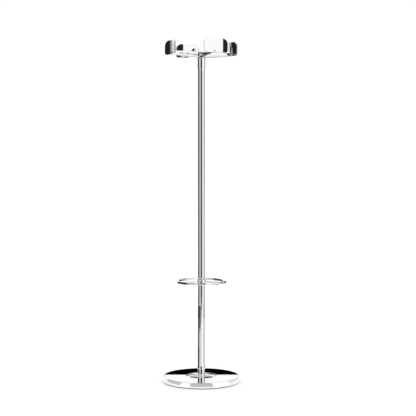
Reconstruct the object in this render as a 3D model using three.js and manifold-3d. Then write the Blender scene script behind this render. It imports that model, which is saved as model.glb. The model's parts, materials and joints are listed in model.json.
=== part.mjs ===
// A chromed standing coat rack: a weighted round base with a drip dish, a slim post with an
// umbrella ring, and a revolving head of four arms that each carry a curved coat plate.
// Units are millimetres, +Z is up, and the origin is on the floor under the middle of the post.

import * as THREE from 'three';
import { mergeVertices } from 'three/addons/utils/BufferGeometryUtils.js';
import Module from 'manifold-3d';

const wasm = await Module();
wasm.setup();

// ---- driving dimensions -------------------------------------------------------------------

const HEIGHT = 1700;            // floor to the top of the coat plates
const GAP = 0.3;                // clearance left between neighbouring pieces
const ROUND = 40;               // sides of a large round piece
const TUBE_ROUND = 24;          // sides of the post and what fits round it
const SMALL_ROUND = 16;         // sides of a small round piece
const SCREW_ROUND = 12;         // sides of a screw, its hole or a thin rod
const OVERCUT = 5;              // how far a cutting solid passes the faces that it cuts

const base = {
  radius: 189, top: 31, skirtBottom: 4, wall: 2, edge: 2.5,
  footOuter: 184, footInner: 166, footTop: 11.7,
  ballastRadius: 184, ballastTop: 22, ballastBevel: 2,
  recessRadius: 70, recessFloor: 18,
  counterboreRadius: 22, counterboreTop: 15.5,
};
const dish = { radius: 75, depth: 11, floorRadius: 52, wall: 1.7 };
const post = { radius: 17.5, wall: 1.5, top: 1599 };
const sleeve = { radius: 19.3, wall: 1.5, baseLength: 58, headLength: 55, chamfer: 1.2 };
const insert = { length: 50, flange: 3 };
const bolt = { radius: 6, acrossFlats: 19, headHeight: 7.5, tip: 66 };
const baseWasher = { radius: 18, thick: 2.5 };
const ring = { radius: 120, tube: 7, height: 505, spokeRadius: 3, spokes: 3, firstSpoke: 90 };
const collar = { radius: 22, height: 18, edge: 2.5 };
const grubScrew = { radius: 2.5, sunk: 0.5, azimuth: 30 };
const arm = {
  reach: 151.2,                 // post axis to the end face of an arm
  rootTop: 1649, rootBottom: 1614, rootWidth: 28,
  endTop: 1647.5, endBottom: 1627.5, endWidth: 16,
  sides: 14, stations: 4,
  squareness: 0.64,             // 1 gives an oval section, 0 would give a rectangle
  count: 4, firstAzimuth: 24.4, // degrees from +X to the first arm
};
const plate = {
  width: 128.5, height: 71, thick: 5,
  innerRadius: 152.7,           // post axis to the middle of the inner face
  bend: 170,                    // radius of the inner face, whose centre lies outside the head
  topCorner: 28, bottomCorner: 12,
};
const screw = { radius: 3, headRadius: 5.5, headHeight: 3, headEdge: 1, length: 32, height: 1637.5 };
const plateWasher = { radius: 7 };
const bush = { bore: 6.3, outer: 9, lowerFlange: 13.5, upperFlange: 12.4, flangeHeight: 2.3 };
const thrustWasher = { radius: 15, thick: 2.4 };
const spindle = { radius: 6, depth: 45 };   // depth is its length inside the post
const retainer = { washerRadius: 12, washerThick: 1.5, acrossFlats: 19, nutHeight: 7 };
const counterbore = { radius: 13, floor: 1633 };
const hub = { top: 1647.5, chamferWidth: 3, chamferHeight: 4.5 };
const cap = { radius: 12.7, chamfer: 1, crown: 0.6, clearance: 2.5 };

const floorOfDish = base.top - dish.depth;
const sleeveBase = floorOfDish + GAP;
const headSleeveTop = arm.rootBottom;
const headSleeveBottom = headSleeveTop - sleeve.headLength;

// ---- materials ----------------------------------------------------------------------------

const chrome = { color: 0xe6e8ea, roughness: 0.06, metalness: 1 };
const steel = { color: 0xb4b6b8, roughness: 0.35, metalness: 1 };
const castIron = { color: 0x3c3d3f, roughness: 0.7, metalness: 0.8 };
const rubber = { color: 0x1a1a1b, roughness: 0.85, metalness: 0 };
const nylon = { color: 0xe9e6dd, roughness: 0.5, metalness: 0 };
const blackNylon = { color: 0x202022, roughness: 0.55, metalness: 0 };

// ---- geometry helpers ---------------------------------------------------------------------

const group = new THREE.Group();

function add(name, geometry, finish, azimuth = 0) {
  const mesh = new THREE.Mesh(geometry, new THREE.MeshStandardMaterial(finish));
  mesh.name = name;
  mesh.rotation.z = THREE.MathUtils.degToRad(azimuth);
  group.add(mesh);
  return mesh;
}

// A solid of revolution about +Z from a profile of [radius, height] pairs that run
// anticlockwise round the section: up the outside, then down the inside or the axis.
function revolve(profile, sides = ROUND) {
  const points = profile.map(([r, z]) => new THREE.Vector2(r, z));
  const hollow = profile.every(([r]) => r > 0);
  if (hollow) points.push(points[0].clone());
  return new THREE.LatheGeometry(points, sides).rotateX(Math.PI / 2);
}

function cylinder(radius, bottom, top, sides = SMALL_ROUND) {
  return revolve([[0, bottom], [radius, bottom], [radius, top], [0, top]], sides);
}

function tube(outer, inner, bottom, top, sides = SMALL_ROUND) {
  return revolve([[inner, bottom], [outer, bottom], [outer, top], [inner, top]], sides);
}

function hexagon(acrossFlats, bottom, top) {
  return cylinder(acrossFlats / Math.sqrt(3), bottom, top, 6);
}

// Points on an ellipse arc, as [radius, height] pairs.
function arcPoints(centre, radii, from, to, steps) {
  return Array.from({ length: steps + 1 }, (_, i) => {
    const angle = from + (to - from) * (i / steps);
    return [centre[0] + radii[0] * Math.cos(angle), centre[1] + radii[1] * Math.sin(angle)];
  });
}

function toSolid(geometry) {
  const bare = geometry.clone();
  bare.deleteAttribute('normal');
  bare.deleteAttribute('uv');
  const merged = mergeVertices(bare, 1e-4);
  return new wasm.Manifold(new wasm.Mesh({
    numProp: 3,
    vertProperties: new Float32Array(merged.attributes.position.array),
    triVerts: new Uint32Array(merged.index.array),
  }));
}

function toGeometry(solid) {
  const mesh = solid.getMesh();
  const geometry = new THREE.BufferGeometry();
  geometry.setAttribute('position', new THREE.BufferAttribute(mesh.vertProperties, 3));
  geometry.setIndex(new THREE.BufferAttribute(mesh.triVerts, 1));
  return geometry;
}

// A cylinder that lies along +X.
function cylinderAlongX(radius, from, to, height) {
  return cylinder(radius, from, to, SCREW_ROUND).rotateY(Math.PI / 2).translate(0, 0, height);
}

// An outline drawn in the YZ plane and extruded along +X.
function extrudeAlongX(shape, from, to, curveSegments = 5) {
  const geometry = new THREE.ExtrudeGeometry(shape, {
    depth: to - from, bevelEnabled: false, curveSegments,
  });
  const yzToX = new THREE.Matrix4().makeBasis(
    new THREE.Vector3(0, 1, 0), new THREE.Vector3(0, 0, 1), new THREE.Vector3(1, 0, 0));
  return geometry.applyMatrix4(yzToX).translate(from, 0, 0);
}

// ---- base ---------------------------------------------------------------------------------

// A pressed cover: flat top with a round opening for the dish, a turned-down inner lip that
// stands on the ballast, and a straight outer skirt with a small radius along its top edge.
function baseCover() {
  const { radius, top, skirtBottom, wall, edge, ballastTop } = base;
  const opening = dish.radius + GAP;
  const lipBottom = ballastTop + GAP;
  const outerEdge = arcPoints([radius - edge, top - edge], [edge, edge], 0, Math.PI / 2, 2);
  const lipEdge = arcPoints([opening + edge, top - edge], [edge, edge], Math.PI / 2, Math.PI, 1);
  return revolve([
    [radius - wall, skirtBottom], [radius, skirtBottom],
    ...outerEdge, ...lipEdge,
    [opening, lipBottom], [opening + wall, lipBottom],
    [opening + wall, top - wall], [radius - wall, top - wall],
  ]);
}

// A shallow bowl round the foot of the post: its wall is a quarter ellipse.
function dripDish() {
  const { radius, depth, floorRadius, wall } = dish;
  const span = radius - floorRadius;
  const hole = bolt.radius + GAP;
  const under = arcPoints([floorRadius, base.top], [span, depth + wall - GAP],
    -Math.PI / 2, 0, 4);
  const bowl = arcPoints([floorRadius, base.top], [span - wall, depth], 0, -Math.PI / 2, 4);
  return revolve([[hole, floorOfDish - wall + GAP], ...under, ...bowl, [hole, floorOfDish]]);
}

// A heavy disc, recessed in the middle for the dish and counterbored below for the bolt head.
function ballastPlate() {
  const { ballastRadius, ballastTop, ballastBevel, footTop } = base;
  const { recessRadius, recessFloor, counterboreRadius, counterboreTop } = base;
  const bottom = footTop + GAP;
  const hole = bolt.radius + GAP;
  return revolve([
    [counterboreRadius, bottom], [ballastRadius, bottom],
    [ballastRadius, ballastTop - ballastBevel], [ballastRadius - ballastBevel, ballastTop],
    [recessRadius, ballastTop], [recessRadius, recessFloor],
    [hole, recessFloor], [hole, counterboreTop], [counterboreRadius, counterboreTop],
  ]);
}

function footRing() {
  const { footOuter, footInner, footTop } = base;
  return tube(footOuter, footInner, 0, footTop, ROUND);
}

function baseBolt(headTop) {
  const headBottom = headTop - bolt.headHeight;
  const shank = cylinder(bolt.radius, (headBottom + headTop) / 2, bolt.tip);
  const head = hexagon(bolt.acrossFlats, headBottom, headTop);
  return toGeometry(toSolid(head).add(toSolid(shank)));
}

function buildBase() {
  const washerTop = base.counterboreTop - GAP;
  const washerBottom = washerTop - baseWasher.thick;
  const washer = tube(baseWasher.radius, bolt.radius + GAP, washerBottom, washerTop);
  add('base_cover', baseCover(), chrome);
  add('drip_dish', dripDish(), chrome);
  add('ballast_plate', ballastPlate(), castIron);
  add('rubber_foot_ring', footRing(), rubber);
  add('base_washer', washer, steel);
  add('base_bolt', baseBolt(washerBottom - GAP), steel);
}

// ---- post ---------------------------------------------------------------------------------

// A chromed sleeve that slips over the post, chamfered at one end.
function chamferedSleeve(bottom, top, chamferTop) {
  const { radius, wall, chamfer } = sleeve;
  const inner = radius - wall;
  const low = chamferTop ? 0 : chamfer;
  const high = chamferTop ? chamfer : 0;
  const profile = [[inner, bottom], [radius - low, bottom]];
  if (low > 0) profile.push([radius, bottom + low]);
  profile.push([radius, top - high]);
  if (high > 0) profile.push([radius - high, top]);
  profile.push([inner, top]);
  return revolve(profile, TUBE_ROUND);
}

function buildPost() {
  const inner = post.radius - post.wall;
  const plug = inner - GAP;
  const hole = bolt.radius + GAP;
  const flangeBottom = post.top + GAP;
  const flangeTop = flangeBottom + insert.flange;
  add('post_tube', tube(post.radius, inner, sleeveBase, post.top, TUBE_ROUND), chrome);
  add('base_sleeve', chamferedSleeve(sleeveBase, sleeveBase + sleeve.baseLength, true), chrome);
  add('post_bottom_insert', tube(plug, hole, sleeveBase, sleeveBase + insert.length), steel);
  add('post_top_insert', revolve([
    [hole, post.top - insert.length], [plug, post.top - insert.length],
    [plug, flangeBottom], [post.radius - GAP, flangeBottom],
    [post.radius - GAP, flangeTop], [hole, flangeTop],
  ], SMALL_ROUND), steel);
}

// ---- umbrella ring ------------------------------------------------------------------------

function ringCollar() {
  const { radius, height, edge } = collar;
  const inner = post.radius + GAP;
  const bottom = ring.height - height / 2;
  const top = ring.height + height / 2;
  const lower = arcPoints([radius - edge, bottom + edge], [edge, edge], -Math.PI / 2, 0, 2);
  const upper = arcPoints([radius - edge, top - edge], [edge, edge], 0, Math.PI / 2, 2);
  const body = toSolid(revolve([[inner, bottom], ...lower, ...upper, [inner, top]], TUBE_ROUND));
  const tapped = toSolid(
    cylinderAlongX(grubScrew.radius + GAP, inner - OVERCUT, radius + OVERCUT, ring.height));
  return toGeometry(body.subtract(tapped));
}

function buildUmbrellaRing() {
  const { azimuth, sunk } = grubScrew;
  const hoop = new THREE.TorusGeometry(ring.radius, ring.tube, 10, ROUND);
  const spokeStart = collar.radius + GAP;
  // The flat sides of the hoop lie a little inside its true radius, so the gap is doubled.
  const spokeEnd = ring.radius - ring.tube - 2 * GAP;
  add('umbrella_ring', hoop.translate(0, 0, ring.height), chrome);
  add('ring_collar', ringCollar(), chrome, azimuth);
  add('ring_grub_screw',
    cylinderAlongX(grubScrew.radius, post.radius + GAP, collar.radius - sunk, ring.height),
    steel, azimuth);
  for (let i = 0; i < ring.spokes; i += 1) {
    const spoke = cylinderAlongX(ring.spokeRadius, spokeStart, spokeEnd, ring.height);
    add(`ring_spoke_${i + 1}`, spoke, chrome, ring.firstSpoke + i * (360 / ring.spokes));
  }
}

// ---- revolving head -----------------------------------------------------------------------

// Heights of the faces in the bearing stack, from the top of the post upwards.
const stack = (() => {
  const thrustBottom = post.top + insert.flange + 2 * GAP;
  const thrustTop = thrustBottom + thrustWasher.thick;
  const lowerFlangeTop = thrustTop + GAP + bush.flangeHeight;
  const spigotBottom = lowerFlangeTop + GAP;
  const upperFlangeTop = counterbore.floor + GAP + bush.flangeHeight;
  const washerTop = upperFlangeTop + GAP + retainer.washerThick;
  const nutTop = washerTop + GAP + retainer.nutHeight;
  const bushSplit = (lowerFlangeTop + counterbore.floor) / 2;
  return {
    thrustBottom, thrustTop, lowerFlangeTop, spigotBottom,
    bushSplit, upperFlangeTop, washerTop, nutTop,
  };
})();

// One tapered arm along +X. Every section is a rounded upright oval, and the top line stays
// nearly level while the underside rises towards the end.
function taperedArm() {
  const { sides, stations, squareness } = arm;
  const positions = [];
  const index = [];
  const power = (v) => Math.sign(v) * Math.abs(v) ** squareness;
  for (let s = 0; s <= stations; s += 1) {
    const t = s / stations;
    const x = arm.reach * t;
    const top = THREE.MathUtils.lerp(arm.rootTop, arm.endTop, t);
    const bottom = THREE.MathUtils.lerp(arm.rootBottom, arm.endBottom, t);
    const half = THREE.MathUtils.lerp(arm.rootWidth, arm.endWidth, t) / 2;
    for (let k = 0; k < sides; k += 1) {
      const angle = (2 * Math.PI * k) / sides;
      positions.push(x, half * power(Math.cos(angle)),
        (top + bottom) / 2 + ((top - bottom) / 2) * power(Math.sin(angle)));
    }
  }
  for (let s = 0; s < stations; s += 1) {
    for (let k = 0; k < sides; k += 1) {
      const a = s * sides + k;
      const b = s * sides + ((k + 1) % sides);
      index.push(a, b, b + sides, a, b + sides, a + sides);
    }
  }
  const last = stations * sides;
  for (let k = 1; k < sides - 1; k += 1) {
    index.push(0, k + 1, k, last, last + k, last + k + 1);
  }
  const geometry = new THREE.BufferGeometry();
  geometry.setAttribute('position', new THREE.Float32BufferAttribute(positions, 3));
  geometry.setIndex(index);
  return geometry;
}

// The cast cross: four arms that grow out of a round hub, with a spigot below for the sleeve,
// a stepped bore for the bushes and a tapped hole in the end of each arm.
function armCross() {
  const barrel = toSolid(revolve([
    [0, stack.spigotBottom], [post.radius, stack.spigotBottom],
    [post.radius, headSleeveTop + GAP], [sleeve.radius, headSleeveTop + GAP],
    [sleeve.radius, hub.top - hub.chamferHeight],
    [sleeve.radius - hub.chamferWidth, hub.top], [0, hub.top],
  ], TUBE_ROUND));
  const oneArm = toSolid(taperedArm());
  const tapped = toSolid(cylinderAlongX(screw.radius + GAP, arm.reach - screw.length,
    arm.reach + OVERCUT, screw.height));
  let cross = barrel;
  for (let i = 0; i < arm.count; i += 1) {
    cross = cross.add(oneArm.rotate([0, 0, i * (360 / arm.count)]));
  }
  for (let i = 0; i < arm.count; i += 1) {
    cross = cross.subtract(tapped.rotate([0, 0, i * (360 / arm.count)]));
  }
  const bore = toSolid(cylinder(bush.outer + GAP, stack.spigotBottom - OVERCUT, HEIGHT));
  const pocket = toSolid(cylinder(counterbore.radius, counterbore.floor, HEIGHT));
  return toGeometry(cross.subtract(bore).subtract(pocket));
}

// One coat plate at azimuth 0: a rounded outline cut from an upright band that bends away
// from the post on both sides, with a hole for its screw.
function coatPlate() {
  const { width, height, thick, innerRadius, bend, topCorner, bottomCorner } = plate;
  const half = width / 2;
  const low = HEIGHT - height;
  const centre = innerRadius + bend;
  // The band is a little longer than the plate, and the outline a little deeper than the band.
  const sweep = Math.asin(half / (bend - thick)) + OVERCUT / bend;
  const deepest = innerRadius + thick + bend * (1 - Math.cos(sweep));
  const band = new THREE.Shape();
  band.absarc(centre, 0, bend, Math.PI - sweep, Math.PI + sweep, false);
  band.absarc(centre, 0, bend - thick, Math.PI + sweep, Math.PI - sweep, true);
  const bandSolid = toSolid(new THREE.ExtrudeGeometry(band, {
    depth: height + 2 * OVERCUT, bevelEnabled: false, curveSegments: 8,
  }).translate(0, 0, low - OVERCUT));

  const outline = new THREE.Shape();
  outline.absarc(half - topCorner, HEIGHT - topCorner, topCorner, 0, Math.PI / 2, false);
  outline.absarc(topCorner - half, HEIGHT - topCorner, topCorner, Math.PI / 2, Math.PI, false);
  outline.absarc(bottomCorner - half, low + bottomCorner, bottomCorner,
    Math.PI, 1.5 * Math.PI, false);
  outline.absarc(half - bottomCorner, low + bottomCorner, bottomCorner,
    1.5 * Math.PI, 2 * Math.PI, false);
  const outlineSolid = toSolid(
    extrudeAlongX(outline, innerRadius - OVERCUT, deepest + OVERCUT));
  const hole = toSolid(cylinderAlongX(screw.radius + GAP, innerRadius - OVERCUT,
    innerRadius + thick + OVERCUT, screw.height));
  return toGeometry(bandSolid.intersect(outlineSolid).subtract(hole));
}

// A button-head screw that enters from outside the plate.
function plateScrew() {
  const headBase = plate.innerRadius + plate.thick + GAP;
  const { radius, headRadius, headHeight, headEdge, length } = screw;
  const dome = arcPoints([0, headBase + headEdge], [headRadius, headHeight - headEdge],
    0, Math.PI / 2, 2);
  dome[dome.length - 1][0] = 0;
  const profile = [
    [0, headBase - length], [radius, headBase - length], [radius, headBase],
    [headRadius, headBase], ...dome,
  ];
  return revolve(profile, SCREW_ROUND).rotateY(Math.PI / 2).translate(0, 0, screw.height);
}

function washerForPlate() {
  const washer = tube(plateWasher.radius, screw.radius + GAP,
    arm.reach + GAP, plate.innerRadius - GAP);
  return washer.rotateY(Math.PI / 2).translate(0, 0, screw.height);
}

function flangedBush(flangeRadius, flangeBottom, flangeTop, bodyBottom, bodyTop) {
  const { bore, outer } = bush;
  const flangeBelow = flangeBottom < bodyBottom;
  const profile = flangeBelow
    ? [[bore, flangeBottom], [flangeRadius, flangeBottom], [flangeRadius, flangeTop],
      [outer, flangeTop], [outer, bodyTop], [bore, bodyTop]]
    : [[bore, bodyBottom], [outer, bodyBottom], [outer, flangeBottom],
      [flangeRadius, flangeBottom], [flangeRadius, flangeTop], [bore, flangeTop]];
  return revolve(profile, SMALL_ROUND);
}

function lockNut(bottom, top) {
  const body = toSolid(hexagon(retainer.acrossFlats, bottom, top));
  const hole = cylinder(spindle.radius + GAP, bottom - OVERCUT, top + OVERCUT);
  return toGeometry(body.subtract(toSolid(hole)));
}

function hubCap() {
  const { radius, chamfer, crown, clearance } = cap;
  const top = arm.rootTop;
  return revolve([
    [0, stack.nutTop + clearance], [radius, stack.nutTop + clearance],
    [radius, top - chamfer], [radius - chamfer, top], [0, top + crown],
  ], SMALL_ROUND);
}

function buildBearing() {
  const hole = spindle.radius + GAP;
  const { thrustBottom, thrustTop, lowerFlangeTop, bushSplit } = stack;
  const { upperFlangeTop, washerTop, nutTop } = stack;
  const spindleTop = nutTop + cap.clearance - GAP;
  add('spindle', cylinder(spindle.radius, post.top - spindle.depth, spindleTop), steel);
  add('thrust_washer', tube(thrustWasher.radius, hole, thrustBottom, thrustTop), nylon);
  add('lower_bush', flangedBush(bush.lowerFlange, thrustTop + GAP, lowerFlangeTop,
    lowerFlangeTop, bushSplit - GAP), nylon);
  add('upper_bush', flangedBush(bush.upperFlange, counterbore.floor + GAP, upperFlangeTop,
    bushSplit + GAP, counterbore.floor), nylon);
  add('retaining_washer',
    tube(retainer.washerRadius, hole, upperFlangeTop + GAP, washerTop), steel);
  add('retaining_nut', lockNut(washerTop + GAP, nutTop), steel);
  add('hub_cap', hubCap(), chrome);
}

function buildHead() {
  const sides = ['right', 'rear', 'left', 'front'];
  add('head_sleeve', chamferedSleeve(headSleeveBottom, headSleeveTop, false), chrome);
  add('arm_cross', armCross(), chrome, arm.firstAzimuth);
  sides.forEach((side, i) => {
    const azimuth = arm.firstAzimuth + i * (360 / arm.count);
    add(`coat_plate_${side}`, coatPlate(), chrome, azimuth);
    add(`plate_washer_${side}`, washerForPlate(), blackNylon, azimuth);
    add(`plate_screw_${side}`, plateScrew(), chrome, azimuth);
  });
}

buildBase();
buildPost();
buildUmbrellaRing();
buildBearing();
buildHead();

export default group;
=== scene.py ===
"""Looks of the chromed standing coat rack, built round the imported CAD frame. Metres, +Z up."""
import json
import math

import bmesh
import bpy
from mathutils import Matrix, Vector


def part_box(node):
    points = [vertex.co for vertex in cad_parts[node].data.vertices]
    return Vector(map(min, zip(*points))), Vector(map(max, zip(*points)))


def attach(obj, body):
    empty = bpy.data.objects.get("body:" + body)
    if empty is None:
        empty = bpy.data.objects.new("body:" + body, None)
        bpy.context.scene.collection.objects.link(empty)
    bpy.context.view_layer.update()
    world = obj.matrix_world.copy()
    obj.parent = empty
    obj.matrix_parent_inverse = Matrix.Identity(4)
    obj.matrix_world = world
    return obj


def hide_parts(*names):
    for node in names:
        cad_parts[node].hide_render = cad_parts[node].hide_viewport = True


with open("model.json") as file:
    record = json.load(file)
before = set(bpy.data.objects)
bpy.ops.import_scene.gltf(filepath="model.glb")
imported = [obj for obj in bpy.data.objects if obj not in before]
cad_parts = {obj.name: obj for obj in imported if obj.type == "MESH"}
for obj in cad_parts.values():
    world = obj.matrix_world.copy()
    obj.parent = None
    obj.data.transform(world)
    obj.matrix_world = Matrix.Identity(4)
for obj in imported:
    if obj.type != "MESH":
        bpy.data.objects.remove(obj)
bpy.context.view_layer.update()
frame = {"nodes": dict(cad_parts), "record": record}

MM = 0.001
GAP = 0.3 * MM                                  # clearance between pieces that fit together
SCENE = bpy.context.scene
SIDES = ("right", "rear", "left", "front")      # of the head, anticlockwise from above

# ---- what the frame says -----------------------------------------------------------------


def radius(node):
    """Outer radius of a round node that stands on the post's axis."""
    low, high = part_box(node)
    return max(high.x - low.x, high.y - low.y) / 2


def heights(node):
    """Lowest and highest level of a node."""
    low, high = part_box(node)
    return low.z, high.z


def azimuth_of(node):
    """Where the middle of a node's box stands, as an angle about the post's axis."""
    low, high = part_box(node)
    middle = (low + high) / 2
    return math.atan2(middle.y, middle.x)


# ---- angles and places -------------------------------------------------------------------


def turned(azimuth):
    return Matrix.Rotation(azimuth, 4, "Z")


def laid_out(azimuth, height):
    """Lays a piece made about +Z flat, so that it runs out from the post's axis."""
    return (turned(azimuth) @ Matrix.Translation((0, 0, height))
            @ Matrix.Rotation(math.pi / 2, 4, "Y"))


def quarter_turns(count):
    return math.radians(90 * count)


def between(ends, share):
    """The value this share of the way from the first end to the second."""
    return ends[0] + (ends[1] - ends[0]) * share


# ---- camera ------------------------------------------------------------------------------

# Chosen so that the render's outline falls on the photo's. Lens and sensor in millimetres.
CAMERA_PLACE = Vector((0.0, -5.351, 1.1045))
CAMERA_PITCH = math.radians(2.487)
CAMERA_LENS = 92.94
CAMERA_SENSOR = 36.0
CAMERA_SHIFT = 0.016
CAMERA_REACH = 60.0


def make_camera():
    data = bpy.data.cameras.new("camera")
    data.lens = CAMERA_LENS
    data.sensor_width = CAMERA_SENSOR
    data.shift_x = CAMERA_SHIFT
    data.clip_end = CAMERA_REACH
    camera = bpy.data.objects.new("camera", data)
    camera.location = CAMERA_PLACE
    camera.rotation_euler = (math.pi / 2 - CAMERA_PITCH, 0.0, 0.0)
    SCENE.collection.objects.link(camera)
    SCENE.camera = camera


make_camera()

# ---- materials ---------------------------------------------------------------------------

# Noise lies about 0.5, and a mottled value changes over this stretch of it.
MOTTLE_START = 0.3
MOTTLE_END = 0.7
CREAM = ((0.74, 0.71, 0.62), (0.8, 0.78, 0.7))
NYLON_ROUGHNESS = (0.4, 0.55)


def new_material(name):
    material = bpy.data.materials.new(name)
    material.use_nodes = True
    tree = material.node_tree
    shader = tree.nodes["Principled BSDF"]
    return material, tree, shader


def noise(tree, scale, detail=3.0, stretch=(1.0, 1.0, 1.0)):
    """Object-space noise, as a 0 to 1 socket. A larger scale gives finer noise."""
    coords = tree.nodes.new("ShaderNodeTexCoord")
    mapping = tree.nodes.new("ShaderNodeMapping")
    mapping.inputs["Scale"].default_value = stretch
    texture = tree.nodes.new("ShaderNodeTexNoise")
    texture.inputs["Scale"].default_value = scale
    texture.inputs["Detail"].default_value = detail
    tree.links.new(coords.outputs["Object"], mapping.inputs["Vector"])
    tree.links.new(mapping.outputs["Vector"], texture.inputs["Vector"])
    return texture.outputs["Fac"]


def ramp(tree, factor, stops):
    """A colour ramp between two stops, each a place and a grey or colour."""
    node = tree.nodes.new("ShaderNodeValToRGB")
    for element, (place, value) in zip(node.color_ramp.elements, stops):
        element.position = place
        colour = value if hasattr(value, "__len__") else (value, value, value)
        element.color = (*colour, 1.0)
    tree.links.new(factor, node.inputs["Fac"])
    return node.outputs["Color"]


def mottled(tree, scale, low, high):
    """A grey or colour that wanders between two values over spots of one size."""
    return ramp(tree, noise(tree, scale), [(MOTTLE_START, low), (MOTTLE_END, high)])


def bump(tree, shader, height, strength, distance):
    node = tree.nodes.new("ShaderNodeBump")
    node.inputs["Strength"].default_value = strength
    node.inputs["Distance"].default_value = distance
    tree.links.new(height, node.inputs["Height"])
    tree.links.new(node.outputs["Normal"], shader.inputs["Normal"])


def sum_of(tree, first, second):
    node = tree.nodes.new("ShaderNodeMath")
    node.operation = "ADD"
    tree.links.new(first, node.inputs[0])
    tree.links.new(second, node.inputs[1])
    return node.outputs["Value"]


def coat(tree, shader, tint, roughness):
    """Gives the shader its colour and its roughness."""
    tree.links.new(tint, shader.inputs["Base Color"])
    tree.links.new(roughness, shader.inputs["Roughness"])


def chrome_material():
    """Bright chrome plate: mirror-like, with faint wipe marks and upright hairline scratches."""
    material, tree, shader = new_material("bright_chrome")
    shader.inputs["Metallic"].default_value = 1.0
    tint = mottled(tree, scale=6.0, low=(0.90, 0.91, 0.925), high=(0.94, 0.945, 0.95))
    wipes = ramp(tree, noise(tree, scale=14.0, detail=6.0), [(0.48, 0.010), (0.74, 0.034)])
    hairlines = noise(tree, scale=90.0, detail=2.0, stretch=(14.0, 14.0, 1.0))
    scratches = ramp(tree, hairlines, [(0.62, 0.0), (0.80, 0.04)])
    coat(tree, shader, tint, sum_of(tree, wipes, scratches))
    bump(tree, shader, hairlines, strength=0.03, distance=0.05 * MM)
    return material


def steel_material():
    """Plain zinc plate: a soft grey with a fine grain."""
    material, tree, shader = new_material("zinc_plated_steel")
    shader.inputs["Metallic"].default_value = 1.0
    tint = mottled(tree, scale=40.0, low=(0.52, 0.53, 0.53), high=(0.66, 0.67, 0.66))
    coat(tree, shader, tint, mottled(tree, scale=120.0, low=0.28, high=0.45))
    bump(tree, shader, noise(tree, scale=900.0), strength=0.15, distance=0.2 * MM)
    return material


def iron_material():
    """Black paint over a rough casting."""
    material, tree, shader = new_material("painted_cast_iron")
    tint = mottled(tree, scale=30.0, low=0.03, high=0.055)
    coat(tree, shader, tint, mottled(tree, scale=90.0, low=0.5, high=0.75))
    bump(tree, shader, noise(tree, scale=260.0, detail=6.0), strength=0.6, distance=0.8 * MM)
    return material


def plastic_material(name, tints, roughness):
    """A moulded plastic or rubber, between two greys or colours and two roughnesses."""
    material, tree, shader = new_material(name)
    tint = mottled(tree, scale=60.0, low=tints[0], high=tints[1])
    gloss = mottled(tree, scale=150.0, low=roughness[0], high=roughness[1])
    coat(tree, shader, tint, gloss)
    bump(tree, shader, noise(tree, scale=700.0), strength=0.2, distance=0.2 * MM)
    return material


CHROME = chrome_material()
STEEL = steel_material()
IRON = iron_material()
RUBBER = plastic_material("moulded_rubber", tints=(0.012, 0.022), roughness=(0.6, 0.8))
WHITE_NYLON = plastic_material("natural_nylon", tints=CREAM, roughness=NYLON_ROUGHNESS)
BLACK_NYLON = plastic_material("black_nylon", tints=(0.012, 0.02), roughness=NYLON_ROUGHNESS)

SLOT_MATERIALS = {
    "chrome": CHROME, "plain_steel": STEEL, "cast_iron": IRON, "rubber": RUBBER,
    "white_nylon": WHITE_NYLON, "black_nylon": BLACK_NYLON,
}

# ---- mesh helpers ------------------------------------------------------------------------

MERGE_DISTANCE = 0.001 * MM
SHARP_ANGLE = math.radians(32)      # a sharper edge than this stays an edge
FLAT_FACE_WEIGHT = 100              # the most that large flat faces can count in the shading
CORNER_SHARE = 0.45                 # of a side, the most that one rounded corner may take up


def new_piece(name, mesh_maker, body, node, slot, place=None, subdivide=0):
    """A smooth piece that stands for one CAD node."""
    mesh = bpy.data.meshes.new(name)
    bm = bmesh.new()
    mesh_maker(bm)
    bmesh.ops.remove_doubles(bm, verts=bm.verts, dist=MERGE_DISTANCE)
    bmesh.ops.recalc_face_normals(bm, faces=bm.faces)
    bm.to_mesh(mesh)
    bm.free()
    if place is not None:
        mesh.transform(place)
    mesh.polygons.foreach_set("use_smooth", [True] * len(mesh.polygons))
    if not subdivide:
        mesh.set_sharp_from_angle(angle=SHARP_ANGLE)
    mesh.materials.append(SLOT_MATERIALS[slot])
    piece = bpy.data.objects.new(name, mesh)
    SCENE.collection.objects.link(piece)
    if subdivide:
        smooth = piece.modifiers.new("smooth_cage", "SUBSURF")
        smooth.levels = smooth.render_levels = subdivide
    else:
        flatten = piece.modifiers.new("flat_faces_stay_flat", "WEIGHTED_NORMAL")
        flatten.weight = FLAT_FACE_WEIGHT
        flatten.keep_sharp = True
    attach(piece, body)
    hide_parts(node)


def arc(centre, radii, start, end, steps):
    """Points on an ellipse arc from start to end, in degrees."""
    points = []
    for i in range(steps + 1):
        angle = math.radians(start + (end - start) * i / steps)
        points.append((centre[0] + radii[0] * math.cos(angle),
                       centre[1] + radii[1] * math.sin(angle)))
    return points


def ring(bm, r, z, sides):
    """New points round the Z axis, the first of them on +X."""
    angles = [2 * math.pi * k / sides for k in range(sides)]
    return [bm.verts.new((r * math.cos(a), r * math.sin(a), z)) for a in angles]


def bridge(bm, first, second):
    """Joins two loops of the same length with a band of quads."""
    for k in range(len(first)):
        after = (k + 1) % len(first)
        bm.faces.new((first[k], first[after], second[after], second[k]))


def lathe(profile, sides, closed=True):
    """A mesh maker that turns (radius, height) points about +Z, with flat ends if not closed."""
    def make(bm):
        rings = [ring(bm, r, z, sides) for r, z in profile]
        for low, high in zip(rings, rings[1:]):
            bridge(bm, low, high)
        if closed:
            bridge(bm, rings[-1], rings[0])
        else:
            bm.faces.new(rings[0][::-1])
            bm.faces.new(rings[-1])
    return make


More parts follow.
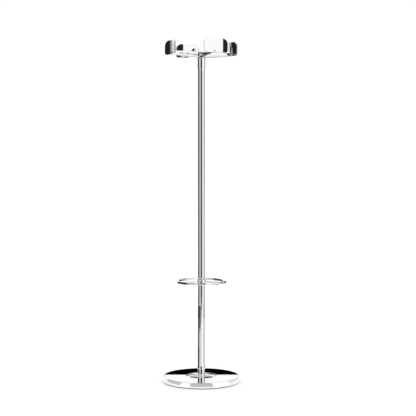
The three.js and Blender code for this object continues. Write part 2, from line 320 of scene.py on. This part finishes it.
def rounded(profile, fillet, steps=5):
    """Rounds every corner of a closed (radius, height) outline."""
    points = []
    count = len(profile)
    for i in range(count):
        corner = Vector(profile[i])
        before = Vector(profile[i - 1]) - corner
        after = Vector(profile[(i + 1) % count]) - corner
        reach = min(fillet, before.length * CORNER_SHARE, after.length * CORNER_SHARE)
        first = corner + before.normalized() * reach
        last = corner + after.normalized() * reach
        for step in range(steps + 1):
            share = step / steps
            point = (first * (1 - share) ** 2 + corner * 2 * share * (1 - share)
                     + last * share ** 2)
            points.append(tuple(point))
    return points


# ---- base --------------------------------------------------------------------------------

BASE_SIDES = 256
DISH_SIDES = 192


def base_cover():
    """A shallow drum with a rounded rim, open underneath and with a hole for the dish."""
    low, top = heights("base_cover")
    outer = radius("base_cover")
    opening = radius("drip_dish") + GAP
    wall = 2.0 * MM
    edge = 2.0 * MM
    hem = 0.4 * MM
    lip = 0.8 * MM
    lip_bottom = heights("drip_dish")[0]
    profile = [
        (outer - wall, low), (outer - hem, low), (outer, low + hem),
        *arc((outer - edge, top - edge), (edge, edge), 0, 90, steps=8),
        *arc((opening + lip, top - lip), (lip, lip), 90, 180, steps=6),
        (opening, lip_bottom), (opening + wall, lip_bottom),
        (opening + wall, top - wall), (outer - wall, top - wall),
    ]
    new_piece("base_cover_smooth", lathe(profile, BASE_SIDES), "stand", "base_cover", "chrome")


def drip_dish():
    """A shallow bowl round the post, with a half-round rim."""
    low, top = heights("drip_dish")
    outer = radius("drip_dish")
    hole = 6.3 * MM
    wall = 1.4 * MM
    depth = top - low - wall
    floor_radius = 52 * MM
    span = outer - floor_radius
    rim = 0.7 * MM
    under = arc((floor_radius, top), (span, depth + wall), -90, 0, steps=24)
    bowl = arc((floor_radius, top), (span - 2 * rim, depth), 0, -90, steps=24)
    lip = arc((outer - rim, top - rim), (rim, rim), 0, 180, steps=8)
    under_rim = 2                   # points of each curve that the rim stands in for
    profile = [(hole, top - depth - wall), *under[:-under_rim], *lip, *bowl[under_rim:],
               (hole, top - depth)]
    new_piece("drip_dish_smooth", lathe(profile, DISH_SIDES), "stand", "drip_dish", "chrome")


def rubber_foot():
    """The ring of rubber that the base stands on."""
    low, top = heights("rubber_foot_ring")
    outer = radius("rubber_foot_ring")
    inner = outer - 18 * MM
    edge = 1.2 * MM
    profile = rounded([(inner, low), (outer, low), (outer, top), (inner, top)], edge)
    new_piece("rubber_foot_smooth", lathe(profile, BASE_SIDES), "stand", "rubber_foot_ring",
              "rubber")


base_cover()
drip_dish()
rubber_foot()

# ---- post --------------------------------------------------------------------------------

TUBE_SIDES = 128
TUBE_WALL = 1.5 * MM


def post():
    """The tube from the base up to the head."""
    low, top = heights("post_tube")
    outer = radius("post_tube")
    inner = outer - TUBE_WALL
    edge = 0.3 * MM
    profile = rounded([(inner, low), (outer, low), (outer, top), (inner, top)], edge)
    new_piece("post_tube_smooth", lathe(profile, TUBE_SIDES), "stand", "post_tube", "chrome")


def sleeve(node, body, chamfer_top):
    """A sleeve round the post, with a chamfer at its top or its bottom."""
    low, top = heights(node)
    outer = radius(node)
    inner = outer - TUBE_WALL
    chamfer = 1.2 * MM
    edge = 0.4 * MM
    if chamfer_top:
        outline = [(inner, low), (outer, low), (outer, top - chamfer), (outer - chamfer, top),
                   (inner, top)]
    else:
        outline = [(inner, low), (outer - chamfer, low), (outer, low + chamfer), (outer, top),
                   (inner, top)]
    new_piece(f"{node}_smooth", lathe(rounded(outline, edge), TUBE_SIDES), body, node, "chrome")


post()
sleeve("base_sleeve", "stand", True)
sleeve("head_sleeve", "head", False)

# ---- umbrella ring -----------------------------------------------------------------------

RING_LOW, RING_HIGH = heights("umbrella_ring")
RING_HEIGHT = (RING_LOW + RING_HIGH) / 2
RING_ROD = (RING_HIGH - RING_LOW) / 2           # radius of the rod that the ring is bent from
RING_RADIUS = radius("umbrella_ring") - RING_ROD
RING_SIDES = 192
ROD_SIDES = 32


def umbrella_ring():
    """A rod bent into a ring round the post."""
    circle = arc((RING_RADIUS, RING_HEIGHT), (RING_ROD, RING_ROD), 0, 360, steps=ROD_SIDES)
    section = circle[:-1]
    new_piece("umbrella_ring_smooth", lathe(section, RING_SIDES), "stand", "umbrella_ring",
              "chrome")


def ring_collar():
    """The collar on the post that carries the ring's spokes."""
    low, top = heights("ring_collar")
    outer = radius("ring_collar")
    inner = radius("post_tube") + GAP
    edge = 2.6 * MM
    outline = [(inner, low), (outer, low), (outer, top), (inner, top)]
    profile = rounded(outline, edge, steps=8)
    new_piece("ring_collar_smooth", lathe(profile, TUBE_SIDES), "stand", "ring_collar", "chrome")


def ring_spoke(number):
    """A rod whose ends flare a little into their welds."""
    node = f"ring_spoke_{number}"
    rod = 3.0 * MM
    start = radius("ring_collar") - 0.5 * MM
    end = RING_RADIUS - RING_ROD + 1.0 * MM
    flare = 1.6 * MM
    # How much of the flare is left at each distance from the two ends.
    at_collar = ((1.0, 0.0), (0.5, 0.6 * MM), (0.1, 1.6 * MM), (0.0, 3.0 * MM))
    at_ring = ((0.0, 4.0 * MM), (0.1, 2.6 * MM), (0.5, 1.4 * MM), (1.0, 0.0))
    profile = [(rod + flare * share, start + away) for share, away in at_collar]
    profile += [(rod + flare * share, end - away) for share, away in at_ring]
    new_piece(f"{node}_smooth", lathe(profile, ROD_SIDES, closed=False), "stand", node, "chrome",
              laid_out(azimuth_of(node), RING_HEIGHT))


umbrella_ring()
ring_collar()
for spoke_number in (1, 2, 3):
    ring_spoke(spoke_number)

# ---- revolving head ----------------------------------------------------------------------

ARM_AZIMUTH = azimuth_of("plate_screw_right")

PLATE_HALF_WIDTH = 64.25 * MM
PLATE_THICK = 5 * MM
PLATE_INNER_RADIUS = 152.7 * MM     # post axis to the middle of the inner face
PLATE_BEND = 170 * MM               # radius of the inner face, whose centre lies outside the head
PLATE_TOP_CORNER = 28 * MM
PLATE_BOTTOM_CORNER = 12 * MM


def arm_azimuth(side):
    return ARM_AZIMUTH + quarter_turns(SIDES.index(side))


def screw_height(side):
    """Level of a plate's screw and of the washer behind the plate."""
    return sum(heights(f"plate_washer_{side}")) / 2


def plate_height(across, half, low, high, top_corner, bottom_corner):
    """Lowest and highest point of a round-cornered outline, this far across from its middle."""
    past_top = max(0.0, abs(across) - (half - top_corner))
    past_bottom = max(0.0, abs(across) - (half - bottom_corner))
    top = high - top_corner + math.sqrt(max(0.0, top_corner ** 2 - past_top ** 2))
    bottom = low + bottom_corner - math.sqrt(max(0.0, bottom_corner ** 2 - past_bottom ** 2))
    return bottom, top


def coat_plate(side):
    """A bent plate whose edge is a half round: loops run from the inner face to the outer."""
    node = f"coat_plate_{side}"
    low, high = heights(node)
    columns = 72
    edge_steps = 12

    def bent(across, depth, z):
        bow = math.sqrt((PLATE_BEND - depth) ** 2 - across * across)
        return Vector((PLATE_INNER_RADIUS + PLATE_BEND - bow, across, z))

    def edge_loop(bm, inset, depth):
        upper, lower = [], []
        half = PLATE_HALF_WIDTH - inset
        for i in range(columns + 1):
            across = half * math.sin(math.pi * (i / columns - 0.5))
            bottom, top = plate_height(across, half, low + inset, high - inset,
                                       PLATE_TOP_CORNER - inset, PLATE_BOTTOM_CORNER - inset)
            upper.append(bm.verts.new(bent(across, depth, top)))
            lower.append(bm.verts.new(bent(across, depth, bottom)))
        return upper, lower

    def make(bm):
        loops = []
        for step in range(edge_steps + 1):
            angle = math.pi * step / edge_steps
            inset = PLATE_THICK / 2 * (1 - math.sin(angle))
            depth = PLATE_THICK / 2 * (1 - math.cos(angle))
            loops.append(edge_loop(bm, inset, depth))
        for (upper_a, lower_a), (upper_b, lower_b) in zip(loops, loops[1:]):
            bridge(bm, upper_a + lower_a[::-1], upper_b + lower_b[::-1])
        for upper, lower in (loops[0], loops[-1]):
            for i in range(columns):
                bm.faces.new((upper[i], upper[i + 1], lower[i + 1], lower[i]))

    new_piece(f"{node}_smooth", make, "head", node, "chrome", turned(arm_azimuth(side)))


# The cross is a smooth cage of quads: a hub whose rim is shared by the roots of four arms.
CAGE_SIDES = 8
CAGE_TOP = CAGE_SIDES // 4          # place of a section's top point, counted from its +Y side
CAGE_BOTTOM = 3 * CAGE_SIDES // 4
CAGE_LEVEL = 4                      # subdivisions
# Smoothing pulls a ring of cage points in, to four sixths of each point and one sixth of both
# its neighbours, so the rings are drawn larger by this.
CAGE_SPREAD = 6 / (4 + 2 * math.cos(2 * math.pi / CAGE_SIDES))
HUB_RADIUS = radius("head_sleeve")
SPIGOT_RADIUS = radius("post_tube")
BORE_RADIUS = 9.3 * MM
POCKET_RADIUS = 13 * MM
POCKET_FLOOR = 1633 * MM
POCKET_RIM = 1648 * MM

# An arm's sections: from here on they are its own, and before it they belong to the hub.
ARM_ROOT = 24 * MM
ARM_REACH = 151.2 * MM
ARM_STATIONS = (38 * MM, 60 * MM, 90 * MM, 120 * MM, 144 * MM, 149.6 * MM, ARM_REACH)
ARM_END_FACE = 0.8                  # size of the flat at the end, as a share of the last section
# Each of these is given at the post's axis and at the end of the arm.
ARM_HALF_WIDTH = (14 * MM, 8 * MM)
ARM_TOP = (1649 * MM, 1647.5 * MM)
ARM_BOTTOM = (1614 * MM, 1627.5 * MM)
ARM_FULLNESS = (0.95, 1.2)          # of the sides and of the corners of a section
# Cage points between two arms, from the top down: share of the hub's radius and height.
FORK = ((0.95, 1645.5 * MM), (1.01, 1632 * MM), (1.05, 1618.5 * MM))


def arm_section(distance):
    """Cage points round an arm, from its +Y side up over the top."""
    share = distance / ARM_REACH
    half = between(ARM_HALF_WIDTH, share)
    top = between(ARM_TOP, share)
    bottom = between(ARM_BOTTOM, share)
    points = []
    for k in range(CAGE_SIDES):
        angle = 2 * math.pi * k / CAGE_SIDES
        spread = CAGE_SPREAD * ARM_FULLNESS[k % 2]
        points.append(Vector((distance, half * math.cos(angle) * spread,
                              (top + bottom) / 2 + (top - bottom) / 2 * math.sin(angle) * spread)))
    return points


def fork_corner(bm, azimuth):
    """New cage points on the hub's side between two arms, from the top down."""
    reach = [(share * HUB_RADIUS, z) for share, z in FORK]
    return [bm.verts.new((r * math.cos(azimuth), r * math.sin(azimuth), z)) for r, z in reach]


def grow_arm(bm, loop, turn):
    """Runs one arm out from its root loop to its flat end."""
    for distance in ARM_STATIONS:
        following = [bm.verts.new(turn @ point) for point in arm_section(distance)]
        bridge(bm, loop, following)
        loop = following
    middle = sum((vertex.co for vertex in loop), Vector()) / CAGE_SIDES
    face = [bm.verts.new(middle + (vertex.co - middle) * ARM_END_FACE) for vertex in loop]
    bridge(bm, loop, face)
    bm.faces.new(face)


def line_hub(bm, top_ring, low_ring):
    """Runs down the inside of the hub from its top, and up the outside of its spigot."""
    crease = bm.edges.layers.float["crease_edge"]
    spigot_bottom = heights("arm_cross")[0]
    seat = heights("head_sleeve")[1] + GAP
    full, soft = 1.0, 0.7
    creases = (
        (POCKET_RADIUS, POCKET_RIM, full), (POCKET_RADIUS, POCKET_FLOOR, full),
        (BORE_RADIUS, POCKET_FLOOR, full), (BORE_RADIUS, spigot_bottom, full),
        (SPIGOT_RADIUS, spigot_bottom, full), (SPIGOT_RADIUS, seat, full),
        (HUB_RADIUS, seat, soft),
    )
    loop = top_ring
    for r, z, sharpness in creases:
        following = ring(bm, r * CAGE_SPREAD, z, CAGE_SIDES)
        bridge(bm, loop, following)
        for k in range(CAGE_SIDES):
            edge = bm.edges.get((following[k - 1], following[k]))
            edge[crease] = sharpness
        loop = following
    bridge(bm, loop, low_ring)


def arm_cross():
    """The hub and its four tapering arms, in one smooth casting."""
    def make(bm):
        bm.edges.layers.float.new("crease_edge")
        arms = range(len(SIDES))
        corners = [fork_corner(bm, quarter_turns(i + 0.5)) for i in arms]
        top_ring, low_ring = [], []
        for i in arms:
            turn = turned(quarter_turns(i))
            root = [turn @ point for point in arm_section(ARM_ROOT)]
            over = bm.verts.new(root[CAGE_TOP])
            under = bm.verts.new(root[CAGE_BOTTOM])
            ahead, behind = corners[i], corners[i - 1]
            # In the order of a section: each fork corner lends its side to two arms.
            loop = [ahead[1], ahead[0], over, behind[0], behind[1], behind[2], under, ahead[2]]
            grow_arm(bm, loop, turn)
            top_ring += [over, ahead[0]]
            low_ring += [under, ahead[2]]
        line_hub(bm, top_ring, low_ring)

    new_piece("arm_cross_smooth", make, "head", "arm_cross", "chrome", turned(ARM_AZIMUTH),
              subdivide=CAGE_LEVEL)


CAP_SIDES = 96
SCREW_SIDES = 48
WASHER_SIDES = 64


def hub_cap():
    """A low dome with a small round edge top and bottom."""
    low, top = heights("hub_cap")
    outer = radius("hub_cap")
    edge = 0.8 * MM
    rise = 1.1 * MM
    shoulder = top - rise - 0.5 * MM
    rim_end = 60
    crown_start, crown_end = 20, 89.5       # the crown stops just short of the axis
    rim = arc((outer - edge, shoulder), (edge, edge), 0, rim_end, steps=4)
    crown = arc((0, top - rise), (outer - edge, rise), crown_start, crown_end, steps=10)
    profile = [(outer - edge, low), (outer, low + edge), *rim, *crown]
    new_piece("hub_cap_smooth", lathe(profile, CAP_SIDES, closed=False), "head", "hub_cap",
              "chrome")


def plate_screw(side):
    """A button-head screw with a round socket, that enters through the plate."""
    node = f"plate_screw_{side}"
    head_base = PLATE_INNER_RADIUS + PLATE_THICK + GAP
    tip = head_base - 32 * MM
    head, rise, dome_end = 5.5 * MM, 3 * MM, 62
    shank = 3 * MM
    rim, edge, point = 0.8 * MM, 0.3 * MM, 0.4 * MM
    socket, socket_depth, socket_edge = 1.9 * MM, 1.6 * MM, 0.1 * MM
    dome = arc((0, head_base + rim), (head, rise - rim), 0, dome_end, steps=10)
    mouth = dome[-1][1]
    profile = [
        (shank - point, tip), (shank, tip + point), (shank, head_base),
        (head - edge, head_base), (head, head_base + edge), *dome,
        (socket + socket_edge, mouth - socket_edge), (socket, mouth - socket_depth),
    ]
    new_piece(f"{node}_smooth", lathe(profile, SCREW_SIDES, closed=False), "head", node,
              "chrome", laid_out(arm_azimuth(side), screw_height(side)))


def plate_washer(side):
    """A spacer between the end of an arm and its plate."""
    node = f"plate_washer_{side}"
    inner, outer = 3.3 * MM, 7 * MM
    start, end = ARM_REACH + GAP, PLATE_INNER_RADIUS - GAP
    edge = 0.3 * MM
    profile = rounded([(inner, start), (outer, start), (outer, end), (inner, end)], edge)
    new_piece(f"{node}_smooth", lathe(profile, WASHER_SIDES), "head", node, "black_nylon",
              laid_out(arm_azimuth(side), screw_height(side)))


for side_name in SIDES:
    coat_plate(side_name)
    plate_screw(side_name)
    plate_washer(side_name)
arm_cross()
hub_cap()

# ---- finishes of the CAD pieces that stay ------------------------------------------------

for entry in frame["record"]["subparts"]:
    cad = frame["nodes"][entry["node"]]
    if not cad.hide_render:
        cad.data.materials.clear()
        cad.data.materials.append(SLOT_MATERIALS[entry["material_slot"]])

# ---- studio ------------------------------------------------------------------------------

# Cards round the stand that only show as reflections in the chrome. Bearings are in degrees
# about the post: 0 is towards the camera and positive is to the camera's right. The rows were
# set until the stripes that the chrome shows stood where the photo has them.
# Each row: name, bearings, reach, height of both edges, grey at both bearings.
UPRIGHT_CARDS = (
    ("front_flag", (-16, 26), 2.3, (0.14, 1.82), (0.02, 0.02)),
    ("front_fade_dark", (-16, 25), 2.3, (0.09, 0.14), (0.10, 0.10)),
    ("front_fade_middle", (-16, 25), 2.3, (0.045, 0.09), (0.22, 0.22)),
    ("front_fade_light", (-16, 25), 2.3, (0.0, 0.045), (0.42, 0.42)),
    ("front_flag_high", (-15, 23.5), 2.3, (1.82, 6.0), (0.02, 0.02)),
    ("head_flag", (-40, 26.6), 0.6, (1.673, 2.4), (0.02, 0.02)),
    ("left_flag", (-135, -70), 2.2, (0.0, 1.745), (0.015, 0.015)),
    ("left_middle_flag", (-135, -77), 2.2, (1.745, 1.84), (0.015, 0.015)),
    ("left_high_flag", (-112, -77), 2.2, (1.84, 8.0), (0.015, 0.015)),
    ("left_high_fade", (-142, -112), 2.2, (1.84, 8.0), (0.95, 0.03)),
    ("left_wall", (-77, -13), 3.0, (0.0, 6.0), (0.56, 0.6)),
    ("right_wall", (21.5, 95), 3.0, (0.0, 1.8), (0.92, 0.84)),
    ("right_flag", (95, 116), 2.2, (0.0, 8.0), (0.03, 0.03)),
    ("rear_right_flag", (128, 156), 2.2, (0.0, 8.0), (0.03, 0.03)),
)
# Cards flat on the floor are painted reflections of the dark flags in a glossy floor, shown only
# in the chrome. They lie in two layers, so that one can cover part of another.
FIRST_LAYER = 1 * MM
SECOND_LAYER = 2 * MM
# Each row: name, bearings, reach of both edges, layer, grey at both bearings.
FLOOR_CARDS = (
    ("floor_left", (-140, -70), (0.36, 1.0), FIRST_LAYER, (0.02, 0.02)),
    ("floor_left_far", (-140, -70), (1.0, 2.2), FIRST_LAYER, (0.12, 0.12)),
    ("floor_left_near", (-86, -43), (0.24, 0.36), FIRST_LAYER, (0.6, 0.6)),
    ("floor_front_left", (-70, -13), (0.36, 3.0), FIRST_LAYER, (0.66, 0.7)),
    ("floor_far_left", (-80, -42), (1.74, 2.84), SECOND_LAYER, (0.08, 0.14)),
    ("floor_far_left_edge", (-80, -42), (1.56, 1.74), SECOND_LAYER, (0.3, 0.4)),
    ("floor_far_middle", (-42, -11), (1.86, 2.84), SECOND_LAYER, (0.10, 0.40)),
    ("floor_far_middle_edge", (-42, -11), (1.66, 1.86), SECOND_LAYER, (0.3, 0.6)),
    ("floor_far_right", (-11, 25), (2.0, 2.29), SECOND_LAYER, (0.58, 0.62)),
    ("floor_front_strip", (-27, 20), (0.35, 0.425), SECOND_LAYER, (0.02, 0.02)),
    ("floor_front_near", (-22, 23), (0.24, 0.36), FIRST_LAYER, (0.55, 0.55)),
    ("floor_front", (-13, 16), (0.36, 2.3), FIRST_LAYER, (0.76, 0.8)),
    ("floor_right", (51, 95), (0.36, 3.0), FIRST_LAYER, (0.66, 0.66)),
    ("floor_right_near", (60, 110), (0.24, 0.36), FIRST_LAYER, (0.85, 0.85)),
    ("floor_rear_right", (124, 172), (0.36, 2.2), FIRST_LAYER, (0.03, 0.03)),
    ("floor_rear_left", (-176, -140), (0.36, 2.2), FIRST_LAYER, (0.03, 0.03)),
)
BACK_FLAG_DISTANCE = 1.0            # a straight black card behind the stand
BACK_FLAG_HALF_WIDTH = 0.9
BACK_FLAG_TOP = 0.228
FLOOR_REACH = 30.0
FLOOR_GREY = 0.93
FLOOR_GLOW = 0.16
SKY_STRENGTH = 1.04
CARD_STEPS = 24


def card_material():
    """Glows with the grey that the card's mesh carries."""
    material = bpy.data.materials.new("studio_card")
    material.use_nodes = True
    tree = material.node_tree
    tree.nodes.clear()
    grey = tree.nodes.new("ShaderNodeAttribute")
    grey.attribute_name = "grey"
    light = tree.nodes.new("ShaderNodeEmission")
    output = tree.nodes.new("ShaderNodeOutputMaterial")
    tree.links.new(grey.outputs["Color"], light.inputs["Color"])
    tree.links.new(light.outputs["Emission"], output.inputs["Surface"])
    return material


CARD_MATERIAL = card_material()


def card(name, columns):
    """A card from columns of two points, each column with its own grey."""
    points = [point for low, high, _ in columns for point in (low, high)]
    faces = [(2 * i, 2 * i + 2, 2 * i + 3, 2 * i + 1) for i in range(len(columns) - 1)]
    mesh = bpy.data.meshes.new(name)
    mesh.from_pydata(points, [], faces)
    greys = mesh.color_attributes.new("grey", "FLOAT_COLOR", "POINT")
    for i, (_, _, grey) in enumerate(columns):
        for k in (2 * i, 2 * i + 1):
            greys.data[k].color = (grey, grey, grey, 1.0)
    mesh.materials.append(CARD_MATERIAL)
    piece = bpy.data.objects.new(name, mesh)
    piece.visible_camera = False
    piece.visible_diffuse = False
    piece.visible_shadow = False
    SCENE.collection.objects.link(piece)


def bent_card(name, bearings, reaches, levels, greys):
    """A card that runs round the post between two bearings, upright or flat on the floor."""
    columns = []
    for i in range(CARD_STEPS + 1):
        share = i / CARD_STEPS
        angle = math.radians(between(bearings, share))
        low, high = [(reach * math.sin(angle), -reach * math.cos(angle), level)
                     for reach, level in zip(reaches, levels)]
        columns.append((low, high, between(greys, share)))
    card(name, columns)


def back_flag():
    columns = []
    for x in (-BACK_FLAG_HALF_WIDTH, BACK_FLAG_HALF_WIDTH):
        low = (x, BACK_FLAG_DISTANCE, 0.0)
        high = (x, BACK_FLAG_DISTANCE, BACK_FLAG_TOP)
        columns.append((low, high, 0.0))
    card("back_flag", columns)


def make_cards():
    for name, bearings, reach, levels, greys in UPRIGHT_CARDS:
        bent_card(name, bearings, (reach, reach), levels, greys)
    for name, bearings, reaches, layer, greys in FLOOR_CARDS:
        bent_card(name, bearings, reaches, (layer, layer), greys)
    back_flag()


def make_floor():
    """A pale floor that glows a little, so that it is as bright as the world behind it."""
    mesh = bpy.data.meshes.new("floor")
    corners = [(x * FLOOR_REACH, y * FLOOR_REACH, 0)
               for x, y in ((-1, -1), (1, -1), (1, 1), (-1, 1))]
    mesh.from_pydata(corners, [], [(0, 1, 2, 3)])
    floor = bpy.data.objects.new("floor", mesh)
    material, _, shader = new_material("pale_floor")
    shader.inputs["Base Color"].default_value = (FLOOR_GREY, FLOOR_GREY, FLOOR_GREY, 1.0)
    shader.inputs["Roughness"].default_value = 0.6
    shader.inputs["Specular IOR Level"].default_value = 0.2
    shader.inputs["Emission Color"].default_value = (1.0, 1.0, 1.0, 1.0)
    shader.inputs["Emission Strength"].default_value = FLOOR_GLOW
    mesh.materials.append(material)
    SCENE.collection.objects.link(floor)


def make_world():
    """An even white world, with its colours shown as they are."""
    world = bpy.data.worlds.new("studio")
    SCENE.world = world
    world.use_nodes = True
    background = world.node_tree.nodes["Background"]
    background.inputs["Color"].default_value = (1.0, 1.0, 1.0, 1.0)
    background.inputs["Strength"].default_value = SKY_STRENGTH
    SCENE.view_settings.view_transform = "Standard"


make_world()
make_floor()
make_cards()
